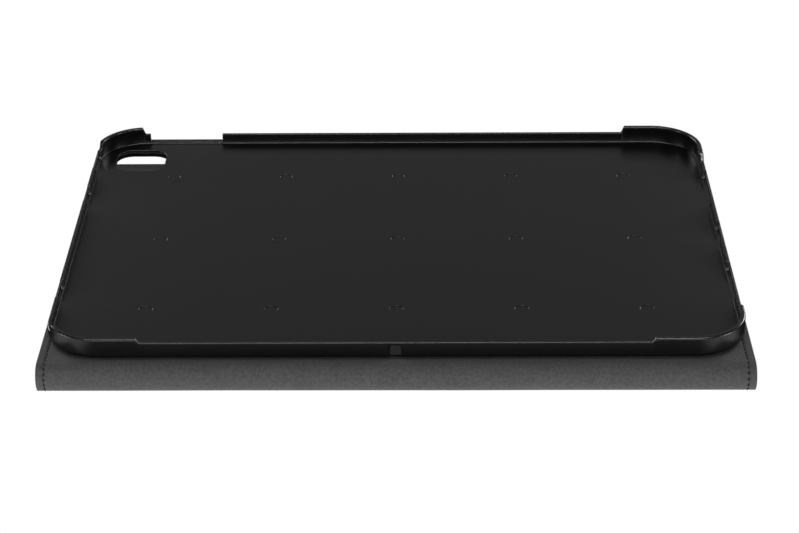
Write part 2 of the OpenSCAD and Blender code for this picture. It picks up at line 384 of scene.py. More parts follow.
def new_group(name: str, inputs: dict[str, tuple[str, float]], outputs: list[str]) -> Nodes:
    """Starts a shader node group.

    Args:
        name: the group's name.
        inputs: socket name to its kind, "Vector" or "Float", and its default.
        outputs: names of the value outputs.

    Returns:
        The builder, whose tree holds a Group Input and a Group Output node.
    """
    tree = bpy.data.node_groups.new(name, "ShaderNodeTree")
    for socket, (kind, default) in inputs.items():
        made = tree.interface.new_socket(socket, in_out="INPUT", socket_type="NodeSocket" + kind)
        if kind == "Float":
            made.default_value = default
    for socket in outputs:
        tree.interface.new_socket(socket, in_out="OUTPUT", socket_type="NodeSocketFloat")
    nodes = Nodes(tree)
    nodes.add("NodeGroupInput", name="in")
    nodes.add("NodeGroupOutput", name="out")
    return nodes


class Effects:
    """The surface effects that more than one finish uses, each a node group built once."""

    def __init__(self) -> None:
        """Builds the groups."""
        self.felt = self._felt()
        self.grain = self._grain()
        self.moulded = self._moulded()

    @staticmethod
    def _felt() -> bpy.types.NodeTree:
        """Short matted fibres: three sizes of stretched noise for height, and soft patches for tone."""
        nodes = new_group("felt_fibres", {"Vector": ("Vector", 0.0), "Scale": ("Float", 2600.0)},
                          ["Height", "Tone"])
        source, out = nodes.tree.nodes["in"], nodes.tree.nodes["out"]
        vector, scale = source.outputs["Vector"], source.outputs["Scale"]
        lays = ((0.35, 0.24), (1.45, 0.3), (2.5, 0.27))
        third_share, clump_share, clump_tone, patch_tone = 0.6, 0.5, 0.8, 0.2
        clump_scale, patch_scale = 0.42, 0.05
        layers = []
        for turn, stretch in lays:
            place = nodes.add("Mapping")
            place.inputs["Rotation"].default_value = (turn * 0.4, turn * 0.7, turn)
            place.inputs["Scale"].default_value = (1.0, stretch, 1.0)
            nodes.wire(vector, place.inputs["Vector"])
            layers.append(nodes.noise(place.outputs[0], scale, detail=2.5, roughness=0.62))
        fibres = nodes.math("ADD", nodes.math("MAXIMUM", layers[0], layers[1]),
                            nodes.math("MULTIPLY", layers[2], third_share))
        clumps = nodes.noise(vector, nodes.math("MULTIPLY", scale, clump_scale), detail=3.0, roughness=0.65)
        height = nodes.math("ADD", fibres, nodes.math("MULTIPLY", clumps, clump_share))
        nodes.wire(height, out.inputs["Height"])
        patches = nodes.noise(vector, nodes.math("MULTIPLY", scale, patch_scale), detail=4.0, roughness=0.6)
        tone = nodes.math("ADD", nodes.math("MULTIPLY", clumps, clump_tone),
                          nodes.math("MULTIPLY", patches, patch_tone))
        nodes.wire(tone, out.inputs["Tone"])
        return nodes.tree

    @staticmethod
    def _grain() -> bpy.types.NodeTree:
        """Leather grain: rounded cells in two sizes, bent by a little noise, with creases as borders."""
        nodes = new_group("leather_grain", {"Vector": ("Vector", 0.0), "Scale": ("Float", 900.0)},
                          ["Height", "Crease"])
        source, out = nodes.tree.nodes["in"], nodes.tree.nodes["out"]
        vector, scale = source.outputs["Vector"], source.outputs["Scale"]
        bend_scale, bend_by, crease_w = 0.6, 0.0007, 0.22
        sizes, shares = (1.0, 2.3), (0.7, 0.3)
        bend = nodes.add("TexNoise", Detail=2.0)
        nodes.wire(vector, bend.inputs["Vector"])
        nodes.wire(nodes.math("MULTIPLY", scale, bend_scale), bend.inputs["Scale"])
        shift = nodes.add("VectorMath", operation="SCALE", Scale=bend_by)
        nodes.wire(bend.outputs["Color"], shift.inputs[0])
        bent = nodes.add("VectorMath", operation="ADD")
        nodes.wire(vector, bent.inputs[0])
        nodes.wire(shift.outputs[0], bent.inputs[1])
        heights = []
        for size in sizes:
            cells = nodes.add("TexVoronoi", feature="DISTANCE_TO_EDGE")
            nodes.wire(bent.outputs[0], cells.inputs["Vector"])
            nodes.wire(nodes.math("MULTIPLY", scale, size), cells.inputs["Scale"])
            heights.append(nodes.ramp(cells.outputs["Distance"], 0.0, crease_w, 0.0, 1.0))
        both = nodes.math("ADD", *(nodes.math("MULTIPLY", h, share) for h, share in zip(heights, shares)))
        nodes.wire(both, out.inputs["Height"])
        nodes.wire(nodes.math("SUBTRACT", 1.0, both), out.inputs["Crease"])
        return nodes.tree

    @staticmethod
    def _moulded() -> bpy.types.NodeTree:
        """Spark-eroded mould texture: fine pits, and broad patches where the plastic is a touch glossier."""
        nodes = new_group("moulded_texture", {"Vector": ("Vector", 0.0), "Scale": ("Float", 3600.0)},
                          ["Height", "Patches"])
        source, out = nodes.tree.nodes["in"], nodes.tree.nodes["out"]
        vector, scale = source.outputs["Vector"], source.outputs["Scale"]
        patch_scale = 0.008
        nodes.wire(nodes.noise(vector, scale, detail=3.0, roughness=0.7), out.inputs["Height"])
        patches = nodes.noise(vector, nodes.math("MULTIPLY", scale, patch_scale), detail=3.0)
        nodes.wire(patches, out.inputs["Patches"])
        return nodes.tree


@dataclass(frozen=True)
class Finish:
    """What every finish has: a name, its colours in linear light, its gloss, and how deep its texture is."""

    name: str
    dark: tuple[float, float, float]
    light: tuple[float, float, float]
    roughness: float
    bump: float
    depth_mm: float

    def start(self) -> tuple[bpy.types.Material, Nodes, bpy.types.Node]:
        """Makes the material with its Principled shader.

        Returns:
            The material, the builder of its tree, and the shader.
        """
        material = bpy.data.materials.new(self.name)
        material.use_nodes = True
        nodes = Nodes(material.node_tree)
        shader = nodes.add("BsdfPrincipled", Roughness=self.roughness)
        shader.inputs["Base Color"].default_value = (*self.dark, 1.0)
        nodes.wire(shader.outputs[0], nodes.add("OutputMaterial").inputs["Surface"])
        return material, nodes, shader

    def group(self, nodes: Nodes, tree: bpy.types.NodeTree, scale: float) -> bpy.types.Node:
        """Places an effect on Object coordinates at a scale in features per metre."""
        place = nodes.add("TexCoord")
        effect = nodes.add("Group", node_tree=tree)
        nodes.wire(place.outputs["Object"], effect.inputs["Vector"])
        effect.inputs["Scale"].default_value = scale
        return effect

    def bumped(self, nodes: Nodes, shader: bpy.types.Node, height: bpy.types.NodeSocket) -> None:
        """Feeds a height to the shader's normal."""
        bump = nodes.add("Bump", Strength=self.bump, Distance=self.depth_mm * MM)
        nodes.wire(height, bump.inputs["Height"])
        nodes.wire(bump.outputs[0], shader.inputs["Normal"])


@dataclass(frozen=True)
class Felt(Finish):
    """Grey microfibre lining: matted fibres with a soft sheen, mottled in small clumps."""

    fibre_scale: float = 2600.0
    sheen: float = 0.12
    sheen_roughness: float = 0.45
    specular: float = 0.2

    def build(self, effects: Effects) -> bpy.types.Material:
        """Builds the material.

        Args:
            effects: the shared node groups.

        Returns:
            The material.
        """
        material, nodes, shader = self.start()
        felt = self.group(nodes, effects.felt, self.fibre_scale)
        tone = nodes.ramp(felt.outputs["Tone"], 0.3, 0.7, 0.0, 1.0)
        nodes.wire(nodes.mix(tone, self.dark, self.light), shader.inputs["Base Color"])
        shader.inputs["Sheen Weight"].default_value = self.sheen
        shader.inputs["Sheen Roughness"].default_value = self.sheen_roughness
        shader.inputs["Specular IOR Level"].default_value = self.specular
        self.bumped(nodes, shader, felt.outputs["Height"])
        return material


@dataclass(frozen=True)
class Leather(Finish):
    """Black synthetic leather: small rounded grain, duller in its creases, which are painted darker as shade.
    """

    grain_scale: float = 900.0
    gloss_on_top: float = 0.06
    dull_in_crease: float = 0.2

    def build(self, effects: Effects) -> bpy.types.Material:
        """Builds the material.

        Args:
            effects: the shared node groups.

        Returns:
            The material.
        """
        material, nodes, shader = self.start()
        grain = self.group(nodes, effects.grain, self.grain_scale)
        crease = grain.outputs["Crease"]
        # Painted shade: the grain's creases are coloured darker than the tops of its cells.
        nodes.wire(nodes.mix(crease, self.light, self.dark), shader.inputs["Base Color"])
        top, bottom = self.roughness - self.gloss_on_top, self.roughness + self.dull_in_crease
        nodes.wire(nodes.ramp(crease, 0.0, 1.0, top, bottom), shader.inputs["Roughness"])
        self.bumped(nodes, shader, grain.outputs["Height"])
        return material


@dataclass(frozen=True)
class Moulded(Finish):
    """Black moulded polycarbonate: a fine satin texture, rubbed a little smoother on its rims, and coloured
    lighter there, partly as wear and partly as a painted highlight.
    """

    pit_scale: float = 3600.0
    patch_gloss: float = 0.012
    rubbed_gloss: float = 0.08
    specular: float = 0.42

    def build(self, effects: Effects) -> bpy.types.Material:
        """Builds the material.

        Args:
            effects: the shared node groups.

        Returns:
            The material.
        """
        material, nodes, shader = self.start()
        mould = self.group(nodes, effects.moulded, self.pit_scale)
        rim = nodes.add("Attribute", attribute_name="rim")
        patches = nodes.ramp(mould.outputs["Patches"], 0.3, 0.7, -self.patch_gloss, self.patch_gloss)
        rubbed = nodes.math("MULTIPLY", rim.outputs["Fac"], -self.rubbed_gloss)
        gloss = nodes.math("ADD", nodes.math("ADD", patches, self.roughness), rubbed, clamp=True)
        shader.inputs["Specular IOR Level"].default_value = self.specular
        nodes.wire(gloss, shader.inputs["Roughness"])
        # The rims are coloured lighter, broken up by the mould texture: partly wear, partly a painted
        # highlight.
        rim_wear_and_highlight = nodes.math("MULTIPLY", rim.outputs["Fac"], mould.outputs["Height"])
        nodes.wire(nodes.mix(rim_wear_and_highlight, self.dark, self.light), shader.inputs["Base Color"])
        self.bumped(nodes, shader, mould.outputs["Height"])
        return material


@dataclass(frozen=True)
class Twisted(Finish):
    """Black polyester thread: two plies, drawn as slanted bands along each stitch's own UV, with the grooves
    between them painted darker as shade.
    """

    twists: float = 3.0
    plies: int = 2
    specular: float = 0.25

    def build(self, effects: Effects) -> bpy.types.Material:
        """Builds the material.

        Args:
            effects: not used by this finish.

        Returns:
            The material.
        """
        material, nodes, shader = self.start()
        uv = nodes.add("UVMap", uv_map="stitch")
        apart = nodes.add("SeparateXYZ")
        nodes.wire(uv.outputs[0], apart.inputs[0])
        turns = nodes.math("ADD", nodes.math("MULTIPLY", apart.outputs["X"], self.twists), apart.outputs["Y"])
        ply = nodes.math("SINE", nodes.math("MULTIPLY", turns, self.plies * 2.0 * math.pi))
        height = nodes.ramp(ply, -1.0, 1.0, 0.0, 1.0)
        # Painted shade: the grooves between the plies are coloured darker than their crowns.
        nodes.wire(nodes.mix(height, self.dark, self.light), shader.inputs["Base Color"])
        shader.inputs["Specular IOR Level"].default_value = self.specular
        self.bumped(nodes, shader, height)
        return material


@dataclass(frozen=True)
class Speckled(Finish):
    """A plain inner material with soft mottling: fibre board, nickel plate or adhesive sheet."""

    metallic: float = 0.0
    speck_scale: float = 800.0

    def build(self, effects: Effects) -> bpy.types.Material:
        """Builds the material.

        Args:
            effects: the shared node groups.

        Returns:
            The material.
        """
        material, nodes, shader = self.start()
        felt = self.group(nodes, effects.felt, self.speck_scale)
        nodes.wire(nodes.mix(felt.outputs["Tone"], self.dark, self.light), shader.inputs["Base Color"])
        shader.inputs["Metallic"].default_value = self.metallic
        self.bumped(nodes, shader, felt.outputs["Height"])
        return material


class Slot(Enum):
    """The record's material slots, each with its finish."""

    TRAY = "tray_plastic"
    LINING = "lining_fabric"
    SKIN = "cover_skin"
    THREAD = "thread"
    BOARD = "board"
    MAGNET = "magnet"
    ADHESIVE = "adhesive"

    @property
    def finish(self) -> Finish:
        """The finish of this slot."""
        return FINISHES[self]


FINISHES: dict[Slot, Finish] = {
    Slot.TRAY: Moulded(
        "black_polycarbonate", (0.0028, 0.0028, 0.003), (0.02, 0.02, 0.021),
        roughness=0.3, bump=0.3, depth_mm=0.03),
    Slot.LINING: Felt(
        "grey_microfibre", (0.068, 0.067, 0.069), (0.106, 0.104, 0.107),
        roughness=0.92, bump=0.6, depth_mm=0.14),
    Slot.SKIN: Leather(
        "black_synthetic_leather", (0.008, 0.008, 0.0085), (0.016, 0.016, 0.017),
        roughness=0.46, bump=0.5, depth_mm=0.06),
    Slot.THREAD: Twisted(
        "black_thread", (0.0016, 0.0016, 0.0016), (0.008, 0.008, 0.008),
        roughness=0.7, bump=0.7, depth_mm=0.06),
    Slot.BOARD: Speckled(
        "fibre_board", (0.22, 0.2, 0.17), (0.34, 0.32, 0.28),
        roughness=0.85, bump=0.4, depth_mm=0.1),
    Slot.MAGNET: Speckled(
        "nickel_plate", (0.5, 0.49, 0.47), (0.62, 0.61, 0.6),
        roughness=0.25, bump=0.1, depth_mm=0.02, metallic=1.0),
    Slot.ADHESIVE: Speckled(
        "adhesive_sheet", (0.6, 0.6, 0.56), (0.72, 0.72, 0.69),
        roughness=0.5, bump=0.15, depth_mm=0.02),
}


class Wardrobe:
    """Builds each finish once and dresses the pieces."""

    def __init__(self) -> None:
        """Builds the shared effects and every material."""
        effects = Effects()
        self.materials = {slot: slot.finish.build(effects) for slot in Slot}

    def dress(self, piece: bpy.types.Object, slot: Slot) -> None:
        """Gives a piece the material of a slot, and logs the piece's name with the slot's."""
        piece.data.materials.clear()
        piece.data.materials.append(self.materials[slot])
        log.info("%s: %s", piece.name, slot.value)


# ---------------------------------------------------------------- tray


@dataclass(frozen=True)
class Notch:
    """A gap in the wall's top edge, between two places along the wall's path."""

    start: float
    end: float


@dataclass(frozen=True)
class Ramp:
    """A place along the wall's path where its top changes from one height to another."""

    at: float
    length: float
    before: float
    after: float


@dataclass
class Tray:
    """The moulded tray: a wall section carried round a rectangle with round corners, and a flat floor.

    The path q is the length along the wall's inner face, counter-clockwise from the middle of the near
    side. Heights are above the tray's underside.
    """

    frame: CaseFrame
    wall: float = 1.3
    floor: float = 1.0
    edge_r: float = 2.2
    corner_r: float = 18.45
    glass_h: float = 7.1
    lip_under: float = 7.15
    lip_reach: float = 0.7
    near_drop: float = 0.4
    side_drop: float = 2.0
    ramp: float = 1.6
    steep_share: float = 0.5
    gentle_share: float = 3.0
    near_lip_x: float = 33.4
    far_right_lip_x: float = 30.2
    far_left_lip_x: float = 17.1
    near_left_lip_y: float = 10.6
    near_right_lip_y: float = 24.6
    far_right_lip_y: float = 26.1
    far_left_lip_y: float = 13.6
    speaker_w: float = 26.0
    speaker_at: float = 40.0
    button_w: float = 16.0
    button_gap: float = 2.0
    sill_h: float = 0.7
    notch_r: float = 1.0
    notch_edge_r: float = 0.25
    rim_r: float = 0.25
    outer_rim_more: float = 0.1
    lip_rim_more: float = 0.2
    lip_soft: float = 0.12
    least_r: float = 0.01
    least_reach: float = 0.02
    least_face: float = 0.05
    lip_onset: float = 0.2
    fillet_r: float = 0.3
    hold: float = 0.3
    mic_w: float = 3.8
    mic_drop: float = 1.7
    mic_step: float = 0.3
    slot_chamfer: float = 0.45
    window_w: float = 20.0
    window_r: float = 6.0
    window_edge_r: float = 0.25
    pin_mark_r: float = 2.6
    pin_counts: tuple[int, int] = (5, 3)
    pin_spaces: tuple[float, float] = (5.4, 3.2)
    rim_band: float = 1.2
    straight_step: float = 2.0
    corner_step: float = 0.5

    def __post_init__(self) -> None:
        """Works out the tray's centre, its inner half sizes and its top."""
        low, high = np.array(self.frame.tray_low), np.array(self.frame.tray_high)
        self.centre = (low + high) / 2
        self.half_x, self.half_y = (high - low)[:2] / 2 - self.wall
        self.base_z = low[2]
        self.top_h = high[2] - low[2]
        self.side_x = self.half_x - self.corner_r
        self.side_y = self.half_y - self.corner_r
        self.bend = math.pi * self.corner_r / 2
        lengths = [self.side_x, self.bend, 2 * self.side_y, self.bend, 2 * self.side_x, self.bend,
                   2 * self.side_y, self.bend, self.side_x]
        self.stations = np.concatenate([[0.0], np.cumsum(lengths)])

    def place(self, q: np.ndarray) -> tuple[np.ndarray, np.ndarray]:
        """Points and outward directions of the inner outline: straight sides and quarter circles in turn.

        Args:
            q: lengths along the path.

        Returns:
            Points and unit normals, each of shape (n, 2), about the tray's centre.
        """
        sx, sy, r = self.side_x, self.side_y, self.corner_r
        starts = [(0, -self.half_y, 0), (sx, -sy, -90), (self.half_x, -sy, 90), (sx, sy, 0),
                  (sx, self.half_y, 180), (-sx, sy, 90), (-self.half_x, sy, 270), (-sx, -sy, 180),
                  (-sx, -self.half_y, 0)]
        points, normals = np.zeros((len(q), 2)), np.zeros((len(q), 2))
        part = np.clip(np.searchsorted(self.stations, q, side="right") - 1, 0, len(starts) - 1)
        for k, (x, y, angle) in enumerate(starts):
            here = part == k
            along = q[here] - self.stations[k]
            if k % 2 == 0:
                a = math.radians(angle)
                heading = np.array([math.cos(a), math.sin(a)])
                points[here] = np.array([x, y]) + along[:, None] * heading
                normals[here] = (heading[1], -heading[0])
            else:
                a = math.radians(angle) + along / r
                normals[here] = np.stack([np.cos(a), np.sin(a)], axis=1)
                points[here] = np.array([x, y]) + r * normals[here]
        return points, normals

    def on_side(self, side: str, value: float) -> float:
        """The path length of a place on a side, given by its X or Y about the tray's centre.

        Args:
            side: "near_right", "right", "far", "left" or "near_left".
            value: X on the near and far sides, Y on the left and right ones.

        Returns:
            The length along the path; places in a round corner are taken as if the side went on.
        """
        s = self.stations
        return {
            "near_right": s[0] + value,
            "right": s[2] + value + self.side_y,
            "far": s[4] + self.side_x - value,
            "left": s[6] + self.side_y - value,
            "near_left": s[8] + value + self.side_x,
        }[side]

    def ramps(self) -> list[Ramp]:
        """The places where a lip runs down to a wall or up again, in path order."""
        outer_x, outer_y = self.half_x + self.wall, self.half_y + self.wall
        lip, near, side = self.top_h, self.glass_h - self.near_drop, self.glass_h - self.side_drop
        r, gentle = self.ramp, self.ramp * self.gentle_share
        inside, mid_r = self.corner_r + self.wall, self.corner_r + self.wall / 2
        near_left_y = self.corner_r * math.acos(min(1.0, (inside - self.near_left_lip_y) / mid_r))
        far_left_x = self.corner_r * math.asin((inside - self.far_left_lip_x) / mid_r)
        far_left_y = self.corner_r * math.asin((inside - self.far_left_lip_y) / mid_r)
        return [
            Ramp(self.on_side("near_right", outer_x - self.near_lip_x) - r, r, near, lip),
            Ramp(self.on_side("right", -outer_y + self.near_right_lip_y), r * self.steep_share, lip, side),
            Ramp(self.on_side("right", outer_y - self.far_right_lip_y) - gentle, gentle, side, lip),
            Ramp(self.on_side("far", outer_x - self.far_right_lip_x), r, lip, side),
            Ramp(self.stations[5] + far_left_x - r, r, side, lip),
            Ramp(self.stations[6] - far_left_y, r, lip, side),
            Ramp(self.stations[8] - near_left_y - r, r, side, lip),
            Ramp(self.on_side("near_left", -outer_x + self.near_lip_x), r, lip, near),
        ]

    def notches(self) -> list[Notch]:
        """The gaps for the plug, the speakers and the buttons, in path order."""
        cy = self.centre[1]
        spread = self.notch_r / 2
        found = []
        for name in ("speaker_opening_near", "plug_opening", "speaker_opening_far"):
            low, high = self.frame.openings[name]
            start, end = low - cy - spread, high - cy + spread
            found.append(Notch(self.on_side("right", start), self.on_side("right", end)))
        low, high = self.frame.openings[FAR_WALL_OPENING]
        found.append(Notch(self.on_side("far", high + spread), self.on_side("far", low - spread)))
        outer_y = self.half_y + self.wall
        top = outer_y - self.far_left_lip_y - self.ramp - self.button_gap
        found.append(Notch(self.on_side("left", top), self.on_side("left", top - self.button_w)))
        for middle in (self.speaker_at, -self.speaker_at):
            at = self.on_side("left", middle - self.speaker_w / 4)
            found.append(Notch(at - self.speaker_w / 4, at + self.speaker_w / 4))
        return found

    def samples(self) -> np.ndarray:
        """Path lengths to carry the section to: close together in corners, ramps and notch edges."""
        parts = []
        for k, (a, b) in enumerate(zip(self.stations[:-1], self.stations[1:])):
            step = self.corner_step if k % 2 else self.straight_step
            parts.append(np.linspace(a, b, max(2, round((b - a) / step)) + 1))
        for ramp in self.ramps():
            parts.append(ramp.at + ramp.length * np.linspace(-0.05, 1.05, 23))
        turn = np.radians(np.linspace(0, 90, 8))
        inside = np.concatenate([[0.015], self.notch_r * (1 - np.cos(turn[1:]))])
        outside = -self.notch_edge_r * (1 - np.sin(turn))
        edge = np.concatenate([outside, inside])
        for notch in self.notches():
            parts += [notch.start + edge, notch.end - edge]
        q = np.unique(np.round(np.concatenate(parts), 4))
        q = q[(q >= 0) & (q < self.stations[-1] - 1e-3)]
        return q[np.concatenate([[True], np.diff(q) > 0.008])]

    def heights(self, q: np.ndarray) -> np.ndarray:
        """Height of the wall's top: levels joined by smooth ramps, cut by notches with round corners.

        Args:
            q: path lengths.

        Returns:
            The height at each of them.
        """
        near = self.glass_h - self.near_drop
        h = np.full(len(q), near)
        for ramp in self.ramps():
            h = np.where(q >= ramp.at, ramp.before + (ramp.after - ramp.before)
                         * smooth(ramp.at, ramp.at + ramp.length, q), h)
        sill = self.floor + self.sill_h
        edge_r, notch_r = self.notch_edge_r, self.notch_r
        for notch in self.notches():
            a = np.minimum(q - notch.start, notch.end - q)
            shoulder = np.clip(a + edge_r, 0, edge_r)
            h = h - np.where(a <= 0, edge_r - np.sqrt(edge_r**2 - shoulder**2), 0)
            reach = notch_r - np.clip(a, 0, notch_r)
            h = np.where(a > 0, sill + notch_r - np.sqrt(notch_r**2 - reach**2), h)
        return h

    def section(self, h: np.ndarray) -> np.ndarray:
        """Wall sections for given top heights, from the floor up the inner face, over and down outside.

        A lip's reach grows from nothing to its full size as the top rises above the glass. Corners are
        arcs whose radii grow the same way.

        Args:
            h: top heights, shape (n,).

        Returns:
            Array of shape (n, k, 2) of distances outward from the inner face and heights.
        """
        rise = smooth(self.glass_h - self.lip_onset, self.top_h, h)
        reach = self.least_reach + (self.lip_reach - self.least_reach) * rise
        inner_r = self.rim_r + self.lip_rim_more * rise
        low_r = self.rim_r + self.outer_rim_more
        outer_r = low_r + (self.wall / 2 - low_r) * rise
        under = np.minimum(self.lip_under, h - inner_r - self.least_face)
        soft = self.lip_soft * rise + self.least_r

        def fixed(points: np.ndarray) -> np.ndarray:
            """Points that are the same at every place along the path."""
            return np.broadcast_to(points, (len(h), *points.shape))

        def turned(cu: np.ndarray, cz: np.ndarray, r: np.ndarray, *turn: float) -> np.ndarray:
            """Arcs with their own centre and radius at every place; turn is start, end and count."""
            a = np.radians(np.linspace(*turn))
            r = r[:, None]
            return np.stack([cu[:, None] + r * np.cos(a), cz[:, None] + r * np.sin(a)], axis=2)

        start = np.array([[-self.edge_r - self.hold, self.floor], [-self.fillet_r - self.hold, self.floor]])
        wall = np.full(len(h), self.wall)
        bottom = arc(self.wall - self.edge_r, self.edge_r, self.edge_r, 0, -90, 12)
        end = np.array([[-self.edge_r - self.hold, 0.0]])
        return np.concatenate([
            fixed(start),
            fixed(arc(-self.fillet_r, self.floor + self.fillet_r, self.fillet_r, -90, 0, 5)),
            turned(-soft, under - soft, soft, 0, 90, 3),
            turned(-reach + soft, under + soft, soft, 270, 180, 3),
            turned(-reach + inner_r, h - inner_r, inner_r, 180, 90, 6),
            turned(wall - outer_r, h - outer_r, outer_r, 90, 0, 7),
            fixed(bottom),
            fixed(end),
        ], axis=1)

    def build(self) -> bpy.types.Object:
        """Builds the tray.

        Returns:
            The piece, with the point attribute "rim", 1 along the top edges.
        """
        q = self.samples()
        h = self.heights(q)
        outline, normal = self.place(q)
        section = self.section(h)
        n, k = section.shape[:2]
        xy = outline[:, None, :] + section[..., :1] * normal[:, None, :]
        points = np.concatenate([xy, section[..., 1:]], axis=2).reshape(-1, 3)
        clouds, first = [points], len(points)
        blocks = [grid_faces(n, k), strip_faces(np.arange(k) + (n - 1) * k, np.arange(k))]
        for k, rings in enumerate([self._window_rings(), *self._pin_marks()]):
            count, size = rings.shape[:2]
            clouds.append(rings.reshape(-1, 3))
            blocks.append(grid_faces(count, size, first, close_cols=True))
            if k > 0:
                blocks.append((first + (count - 1) * size + np.arange(size))[None, :])
            first += count * size
        cloud = np.concatenate(clouds)
        cloud += np.array([self.centre[0], self.centre[1], self.base_z])
        piece = self._filled("tray", cloud, blocks)
        self._cut_microphone_slot(piece)
        self._mark_rim(piece, q, h)
        return piece

    def _window_rings(self) -> np.ndarray:
        """Rings of the camera window's edge: a round top edge, a straight wall and a round under edge."""
        e = self.window_edge_r
        profile = np.concatenate([
            [[e + self.hold, self.floor]],
            arc(e, self.floor - e, e, 90, 180, 5),
            arc(e, e, e, 180, 270, 5),
            [[e + self.hold, 0.0]],
        ])
        cx, cy = self.frame.camera_xy[0] - self.centre[0], self.frame.camera_xy[1] - self.centre[1]
        rings = []
        for grow, z in profile:
            ring = round_square(self.window_w / 2 + grow, self.window_r + grow, 14)
            rings.append(np.column_stack([ring + (cx, cy), np.full(len(ring), z)]))
        return np.stack(rings)

    def _pin_marks(self) -> list[np.ndarray]:
        """Rings of the shallow round marks that the mould's pins leave on the floor."""
        profile = [(0.25, 0.0), (0.06, 0.0), (0.0, -0.03), (-0.05, -0.11), (-0.14, -0.15), (-0.5, -0.15)]
        grow, drop = (np.array(column)[:, None] for column in zip(*profile))
        a = np.radians(np.arange(0, 360, 9))[None, :]
        r = self.pin_mark_r + grow
        spots = [
            (np.arange(count) - (count - 1) / 2) * 2 * half / spaces
            for count, half, spaces in zip(self.pin_counts, (self.half_x, self.half_y), self.pin_spaces)
        ]
        return [
            np.stack([cx + r * np.cos(a), cy + r * np.sin(a), self.floor + drop + 0 * a], axis=2)
            for cx, cy in itertools.product(*spots)
        ]

    def _filled(self, name: str, cloud: np.ndarray, blocks: list[np.ndarray]) -> bpy.types.Object:
        """Makes the mesh and fills the flat floor and underside between the open edges at their heights."""
        mesh = bpy.data.meshes.new(name)
        rows = [row for block in blocks for row in block.tolist()]
        mesh.from_pydata((cloud * MM).tolist(), [], rows)
        work = bmesh.new()
        work.from_mesh(mesh)
        middle = (self.base_z + self.floor / 2) * MM
        rims = [edge for edge in work.edges if edge.is_boundary]
        for upper in (True, False):
            level = [edge for edge in rims if (edge.verts[0].co.z > middle) == upper]
            bmesh.ops.triangle_fill(work, use_beauty=True, use_dissolve=False, edges=level)
        bmesh.ops.recalc_face_normals(work, faces=work.faces)
        work.to_mesh(mesh)
        work.free()
        return put_object(name, mesh)

    def _cut_microphone_slot(self, piece: bpy.types.Object) -> None:
        """Cuts the slot in the near wall, open at the bottom, with round upper corners and a chamfered rim.

        The cutter starts a margin outside the wall and below the tray, where it is that much wider.
        """
        margin = 1.0
        outer = self.centre[1] - self.half_y - self.wall
        levels = [outer - margin, outer + self.slot_chamfer, outer + self.wall + self.mic_step]
        top = self.glass_h - self.mic_drop
        r, half = self.mic_w / 4, self.mic_w / 2
        outlines = []
        for grow in (margin + self.slot_chamfer, 0.0, 0.0):
            outlines.append(np.concatenate([
                arc(half - r, top - r, r + grow, 0, 90, 9),
                arc(-half + r, top - r, r + grow, 90, 180, 9),
                [[-half - grow, -margin], [half + grow, -margin]],
            ]) + (self.centre[0], self.base_z))
        cut_from(piece, prism("slot_cutter", outlines, levels, "y"))

    def _mark_rim(self, piece: bpy.types.Object, q: np.ndarray, h: np.ndarray) -> None:
        """Stores how near each point is to the wall's top: 1 on it, and 0 from a band's width below."""
        co = np.zeros(len(piece.data.vertices) * 3)
        piece.data.vertices.foreach_get("co", co)
        co = co.reshape(-1, 3) / MM - np.array([self.centre[0], self.centre[1], self.base_z])
        outline, _ = self.place(q)
        beyond = np.maximum(np.abs(co[:, 0]) - self.half_x, np.abs(co[:, 1]) - self.half_y)
        edge = beyond > -self.corner_r * 0.45
        top = np.full(len(co), self.top_h)
        picked = np.flatnonzero(edge)
        block_size = 4000
        for block in np.array_split(picked, max(1, len(picked) // block_size)):
            gap = ((co[block, None, :2] - outline[None]) ** 2).sum(axis=2)
            top[block] = h[gap.argmin(axis=1)]
        rim = np.where(edge, smooth(-self.rim_band, 0.0, co[:, 2] - top), 0.0)
        layer = piece.data.attributes.new("rim", "FLOAT", "POINT")
        layer.data.foreach_set("value", rim.astype(np.float32))


# ---------------------------------------------------------------- cover


class Layer(Enum):
    """The two layers that run over the whole cover."""

    LINING = "lining"
    SKIN = "skin"


@dataclass(frozen=True)
class Span:
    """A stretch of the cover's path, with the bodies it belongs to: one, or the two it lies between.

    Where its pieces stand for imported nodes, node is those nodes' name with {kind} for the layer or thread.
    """

    name: str
    start: float
    end: float
    bodies: tuple[str, ...]
    node: str = ""


